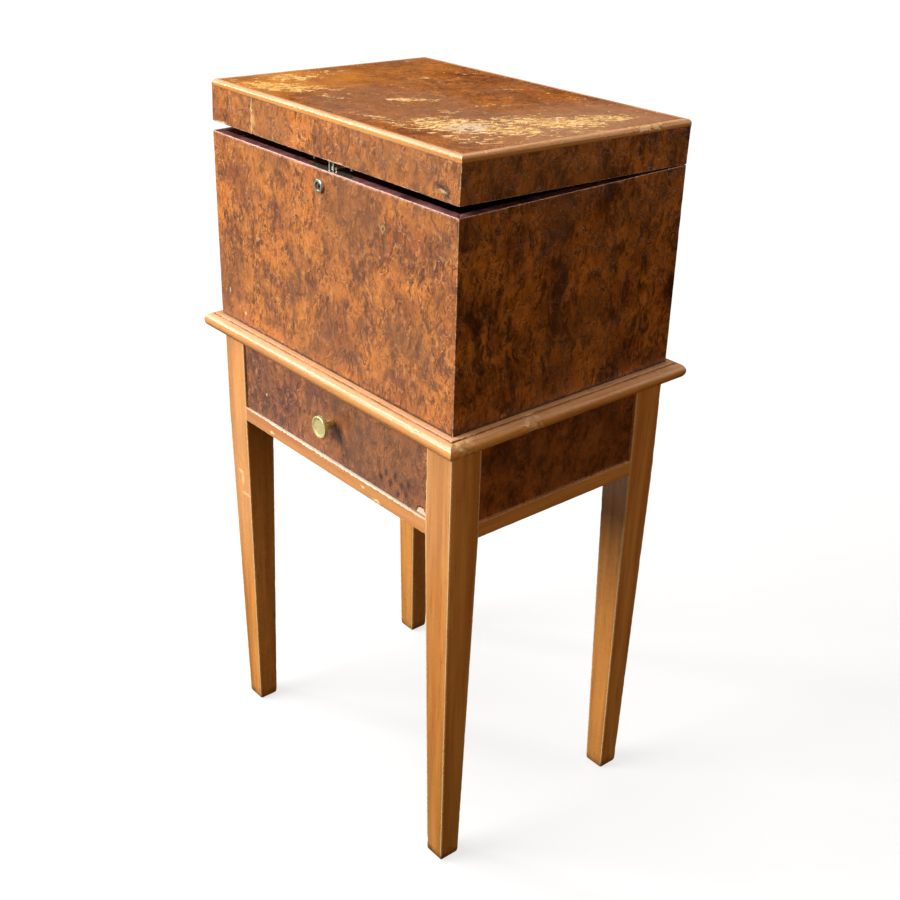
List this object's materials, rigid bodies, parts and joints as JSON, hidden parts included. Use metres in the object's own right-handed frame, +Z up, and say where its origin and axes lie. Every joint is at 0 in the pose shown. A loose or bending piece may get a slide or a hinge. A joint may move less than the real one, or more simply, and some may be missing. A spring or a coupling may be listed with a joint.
{
  "type": "sewing table",
  "caption": "Lidded burl-veneered sewing box on a stand with tapered legs, a drawer, a hinged lid with a lock and a sliding till inside.",
  "frame": {"origin": "on the floor, at the middle of the four feet and of the top moulding", "axes": "+Z up; the drawer and the keyhole face -Y; +X runs to the right along the front"},
  "size_m": [0.431, 0.321, 0.7876],
  "materials": {
    "burl_veneer": "polished burl veneer",
    "worn_top_veneer": "polished burl veneer, worn and flaked in patches",
    "light_wood": "varnished straight-grained hardwood",
    "plain_wood": "bare wood",
    "aged_brass": "worn brass",
    "lock_metal": "dull tarnished brass",
    "screw_steel": "plain steel"
  },
  "bodies": {
    "table": {"back_apron": "burl_veneer", "back_left_leg": "light_wood", "back_moulding": "light_wood", "back_rail": "light_wood", "back_right_leg": "light_wood", "box_back_wall": "burl_veneer", "box_bottom": "plain_wood", "box_fixing_screws": "screw_steel", "box_front_wall": "burl_veneer", "box_left_wall": "burl_veneer", "box_right_wall": "burl_veneer", "drawer_rail": "light_wood", "drawer_stops": "plain_wood", "front_left_leg": "light_wood", "front_moulding": "light_wood", "front_right_leg": "light_wood", "hinge_box_leaves": "aged_brass", "hinge_box_screws": "screw_steel", "hinge_pins": "aged_brass", "keyhole_collar": "lock_metal", "left_apron": "burl_veneer", "left_drawer_runner": "plain_wood", "left_moulding": "light_wood", "left_rail": "light_wood", "lock_case": "lock_metal", "lock_screws": "screw_steel", "right_apron": "burl_veneer", "right_drawer_runner": "plain_wood", "right_moulding": "light_wood", "right_rail": "light_wood", "stand_top": "plain_wood", "till_ledges": "plain_wood"},
    "lid": {"lid_front_rail": "burl_veneer", "lid_right_rail": "burl_veneer", "lid_back_rail": "burl_veneer", "lid_left_rail": "burl_veneer", "lid_front_bead": "light_wood", "lid_right_bead": "light_wood", "lid_back_bead": "light_wood", "lid_left_bead": "light_wood", "lid_panel": "plain_wood", "lid_top_veneer": "worn_top_veneer", "hinge_lid_leaves": "aged_brass", "hinge_lid_screws": "screw_steel", "strike_plate": "lock_metal", "strike_screws": "screw_steel"},
    "drawer": {"drawer_front": "burl_veneer", "drawer_left_side": "plain_wood", "drawer_right_side": "plain_wood", "drawer_back": "plain_wood", "drawer_bottom": "plain_wood", "drawer_knob": "aged_brass", "knob_screw": "screw_steel"},
    "lock_bolt": {"lock_bolt": "lock_metal"},
    "till": {"till_front": "plain_wood", "till_back": "plain_wood", "till_left_end": "plain_wood", "till_right_end": "plain_wood", "till_divider": "plain_wood", "till_bottom": "plain_wood"}
  },
  "joints": [
    {"name": "lid_hinge", "type": "hinge", "parent": "table", "child": "lid", "pos_m": [0, 0.1483, 0.7342], "axis": [-1, 0, 0], "range_deg": [-1.9, 96]},
    {"name": "drawer_slide", "type": "slide", "parent": "table", "child": "drawer", "axis": [0, -1, 0], "range_m": [0, 0.19]},
    {"name": "bolt_slide", "type": "slide", "parent": "table", "child": "lock_bolt", "axis": [1, 0, 0], "range_m": [0, 0.01]},
    {"name": "till_slide", "type": "slide", "parent": "table", "child": "till", "axis": [1, 0, 0], "range_m": [0, 0.202]}
  ]
}
